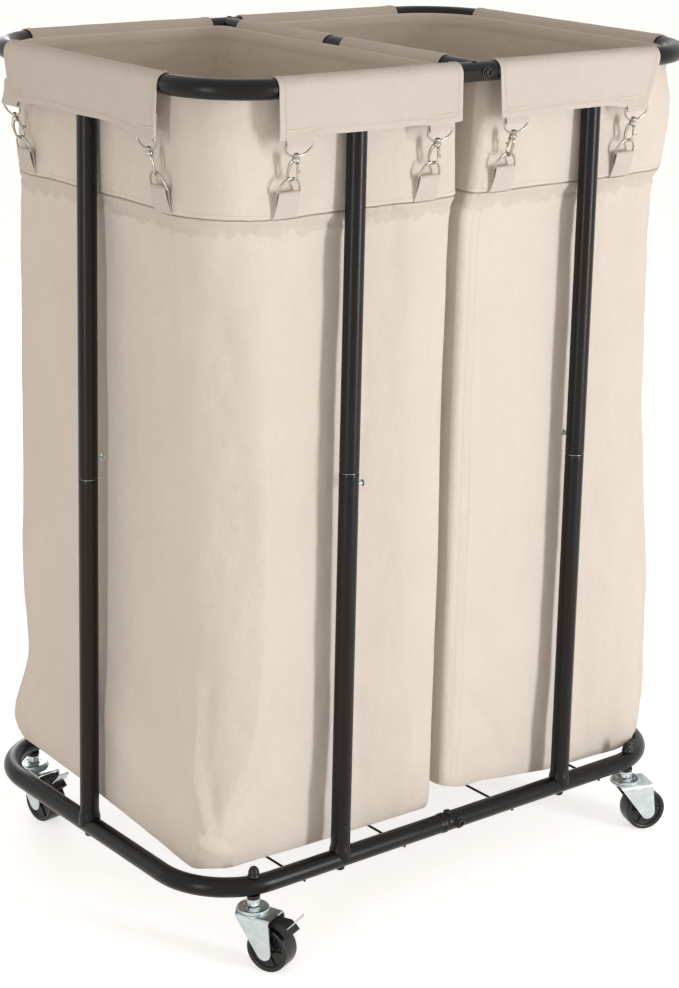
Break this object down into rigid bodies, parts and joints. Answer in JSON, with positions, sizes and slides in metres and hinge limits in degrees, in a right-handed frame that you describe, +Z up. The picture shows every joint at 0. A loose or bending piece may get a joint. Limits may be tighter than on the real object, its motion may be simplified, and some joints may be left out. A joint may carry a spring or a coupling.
{
  "type": "laundry hamper",
  "caption": "Wheeled laundry hamper: a bolted black tube frame on four swivel casters holds canvas bags side by side, clipped over its top ring.",
  "frame": {"origin": "on the floor, under the middle of the frame", "axes": "+Z up, X along the long side that the two bags share, -Y towards the front"},
  "size_m": [0.7316, 0.5761, 0.9796],
  "materials": {
    "powder_coat": "satin black powder coat on steel tube",
    "black_oxide": "oiled black oxide on steel bolts",
    "zinc": "bright zinc plate",
    "nickel": "polished nickel plate",
    "canvas": "plain woven natural cotton canvas",
    "wheel_rubber": "satin black",
    "brake_plastic": "matte black, with a zinc plated tail"
  },
  "bodies": {
    "frame": {"top_ring_left": "powder_coat", "top_ring_right": "powder_coat", "bottom_ring_left": "powder_coat", "bottom_ring_right": "powder_coat", "divider_tube": "powder_coat", "upright_front_left_lower": "powder_coat", "upright_front_left_upper": "powder_coat", "upright_left_end_lower": "powder_coat", "upright_left_end_upper": "powder_coat", "upright_back_left_lower": "powder_coat", "upright_back_left_upper": "powder_coat", "upright_front_right_lower": "powder_coat", "upright_front_right_upper": "powder_coat", "upright_right_end_lower": "powder_coat", "upright_right_end_upper": "powder_coat", "upright_back_right_lower": "powder_coat", "upright_back_right_upper": "powder_coat", "bottom_joint_bolt_front": "black_oxide", "bottom_joint_bolt_back": "black_oxide", "caster_front_left_stem": "zinc", "caster_front_right_stem": "zinc", "caster_back_left_stem": "zinc", "caster_back_right_stem": "zinc", "bag_left": "canvas", "bag_right": "canvas", "clip_front_1": "nickel", "clip_front_2": "nickel", "clip_front_3": "nickel", "clip_front_4": "nickel", "clip_back_1": "nickel", "clip_back_2": "nickel", "clip_back_3": "nickel", "clip_back_4": "nickel", "clip_left_1": "nickel", "clip_left_2": "nickel", "clip_right_1": "nickel", "clip_right_2": "nickel"},
    "caster_front_left_swivel": {"caster_front_left_fork": "zinc"},
    "caster_front_left_roller": {"caster_front_left_wheel": "wheel_rubber"},
    "caster_front_right_swivel": {"caster_front_right_fork": "zinc"},
    "caster_front_right_roller": {"caster_front_right_wheel": "wheel_rubber"},
    "caster_back_left_swivel": {"caster_back_left_fork": "zinc"},
    "caster_back_left_roller": {"caster_back_left_wheel": "wheel_rubber"},
    "caster_back_right_swivel": {"caster_back_right_fork": "zinc"},
    "caster_back_right_roller": {"caster_back_right_wheel": "wheel_rubber"},
    "caster_front_left_brake": {"caster_front_left_brake_lever": "brake_plastic"},
    "caster_back_left_brake": {"caster_back_left_brake_lever": "brake_plastic"},
    "trigger_front_1": {"gate_front_1": "nickel"},
    "trigger_front_2": {"gate_front_2": "nickel"},
    "trigger_front_3": {"gate_front_3": "nickel"},
    "trigger_front_4": {"gate_front_4": "nickel"},
    "trigger_back_1": {"gate_back_1": "nickel"},
    "trigger_back_2": {"gate_back_2": "nickel"},
    "trigger_back_3": {"gate_back_3": "nickel"},
    "trigger_back_4": {"gate_back_4": "nickel"},
    "trigger_left_1": {"gate_left_1": "nickel"},
    "trigger_left_2": {"gate_left_2": "nickel"},
    "trigger_right_1": {"gate_right_1": "nickel"},
    "trigger_right_2": {"gate_right_2": "nickel"}
  },
  "joints": [
    {"name": "caster_front_left_swivel_turn", "type": "hinge", "parent": "frame", "child": "caster_front_left_swivel", "pos_m": [-0.286, -0.23214, 0], "axis": [0, 0, 1], "continuous": true},
    {"name": "caster_front_left_wheel_roll", "type": "hinge", "parent": "caster_front_left_swivel", "child": "caster_front_left_roller", "pos_m": [-0.27682, -0.25485, 0.0254], "axis": [0.9272, 0.3746, 0], "continuous": true},
    {"name": "caster_front_right_swivel_turn", "type": "hinge", "parent": "frame", "child": "caster_front_right_swivel", "pos_m": [0.286, -0.23214, 0], "axis": [0, 0, 1], "continuous": true},
    {"name": "caster_front_right_wheel_roll", "type": "hinge", "parent": "caster_front_right_swivel", "child": "caster_front_right_roller", "pos_m": [0.30917, -0.24011, 0.0254], "axis": [0.3256, 0.9455, 0], "continuous": true},
    {"name": "caster_back_left_swivel_turn", "type": "hinge", "parent": "frame", "child": "caster_back_left_swivel", "pos_m": [-0.286, 0.23214, 0], "axis": [0, 0, 1], "continuous": true},
    {"name": "caster_back_left_wheel_roll", "type": "hinge", "parent": "caster_back_left_swivel", "child": "caster_back_left_roller", "pos_m": [-0.28301, 0.20782, 0.0254], "axis": [0.9925, 0.1219, 0], "continuous": true},
    {"name": "caster_back_right_swivel_turn", "type": "hinge", "parent": "frame", "child": "caster_back_right_swivel", "pos_m": [0.286, 0.23214, 0], "axis": [0, 0, 1], "continuous": true},
    {"name": "caster_back_right_wheel_roll", "type": "hinge", "parent": "caster_back_right_swivel", "child": "caster_back_right_roller", "pos_m": [0.29109, 0.2561, 0.0254], "axis": [-0.9781, 0.2079, 0], "continuous": true},
    {"name": "caster_front_left_brake_press", "type": "hinge", "parent": "caster_front_left_swivel", "child": "caster_front_left_brake", "pos_m": [-0.27589, -0.25717, 0.05547], "axis": [0.9272, 0.3746, 0], "range_deg": [0, 6.5]},
    {"name": "caster_back_left_brake_press", "type": "hinge", "parent": "caster_back_left_swivel", "child": "caster_back_left_brake", "pos_m": [-0.28271, 0.20534, 0.05547], "axis": [0.9925, 0.1219, 0], "range_deg": [0, 6.5]},
    {"name": "trigger_front_1_open", "type": "hinge", "parent": "frame", "child": "trigger_front_1", "pos_m": [-0.25084, -0.24248, 0.88781], "axis": [0.5736, 0.7791, 0.2531], "range_deg": [0, 20], "stiffness_Nm_per_rad": 0.002, "springref_deg": -20.05},
    {"name": "trigger_front_2_open", "type": "hinge", "parent": "frame", "child": "trigger_front_2", "pos_m": [-0.06254, -0.24248, 0.88781], "axis": [0.5736, 0.7791, 0.2531], "range_deg": [0, 20], "stiffness_Nm_per_rad": 0.002, "springref_deg": -20.05},
    {"name": "trigger_front_3_open", "type": "hinge", "parent": "frame", "child": "trigger_front_3", "pos_m": [0.04457, -0.23849, 0.88911], "axis": [-0.9848, 0.1651, 0.0537], "range_deg": [0, 20], "stiffness_Nm_per_rad": 0.002, "springref_deg": -20.05},
    {"name": "trigger_front_4_open", "type": "hinge", "parent": "frame", "child": "trigger_front_4", "pos_m": [0.23029, -0.24209, 0.88794], "axis": [0.4226, 0.8619, 0.2801], "range_deg": [0, 20], "stiffness_Nm_per_rad": 0.002, "springref_deg": -20.05},
    {"name": "trigger_back_1_open", "type": "hinge", "parent": "frame", "child": "trigger_back_1", "pos_m": [-0.25538, 0.23973, 0.88871], "axis": [0.5, -0.8236, 0.2676], "range_deg": [0, 20], "stiffness_Nm_per_rad": 0.002, "springref_deg": -20.05},
    {"name": "trigger_back_2_open", "type": "hinge", "parent": "frame", "child": "trigger_back_2", "pos_m": [-0.0661, 0.24323, 0.88757], "axis": [-0.866, -0.4755, 0.1545], "range_deg": [0, 20], "stiffness_Nm_per_rad": 0.002, "springref_deg": -20.05},
    {"name": "trigger_back_3_open", "type": "hinge", "parent": "frame", "child": "trigger_back_3", "pos_m": [0.04237, 0.23905, 0.88893], "axis": [0.766, -0.6113, 0.1986], "range_deg": [0, 20], "stiffness_Nm_per_rad": 0.002, "springref_deg": -20.05},
    {"name": "trigger_back_4_open", "type": "hinge", "parent": "frame", "child": "trigger_back_4", "pos_m": [0.22579, 0.24266, 0.88776], "axis": [-0.6428, -0.7286, 0.2367], "range_deg": [0, 20], "stiffness_Nm_per_rad": 0.002, "springref_deg": -20.05},
    {"name": "trigger_left_1_open", "type": "hinge", "parent": "frame", "child": "trigger_left_1", "pos_m": [-0.3536, 0.13514, 0.88907], "axis": [0.3253, 0.9397, 0.1057], "range_deg": [0, 20], "stiffness_Nm_per_rad": 0.002, "springref_deg": -20.05},
    {"name": "trigger_left_2_open", "type": "hinge", "parent": "frame", "child": "trigger_left_2", "pos_m": [-0.35473, -0.12974, 0.88871], "axis": [-0.8236, 0.5, -0.2676], "range_deg": [0, 20], "stiffness_Nm_per_rad": 0.002, "springref_deg": -20.05},
    {"name": "trigger_right_1_open", "type": "hinge", "parent": "frame", "child": "trigger_right_1", "pos_m": [0.35766, -0.134, 0.88776], "axis": [-0.7286, 0.6428, 0.2367], "range_deg": [0, 20], "stiffness_Nm_per_rad": 0.002, "springref_deg": -20.05},
    {"name": "trigger_right_2_open", "type": "hinge", "parent": "frame", "child": "trigger_right_2", "pos_m": [0.35379, 0.13342, 0.88901], "axis": [-0.4755, -0.866, 0.1545], "range_deg": [0, 20], "stiffness_Nm_per_rad": 0.002, "springref_deg": -20.05}
  ]
}
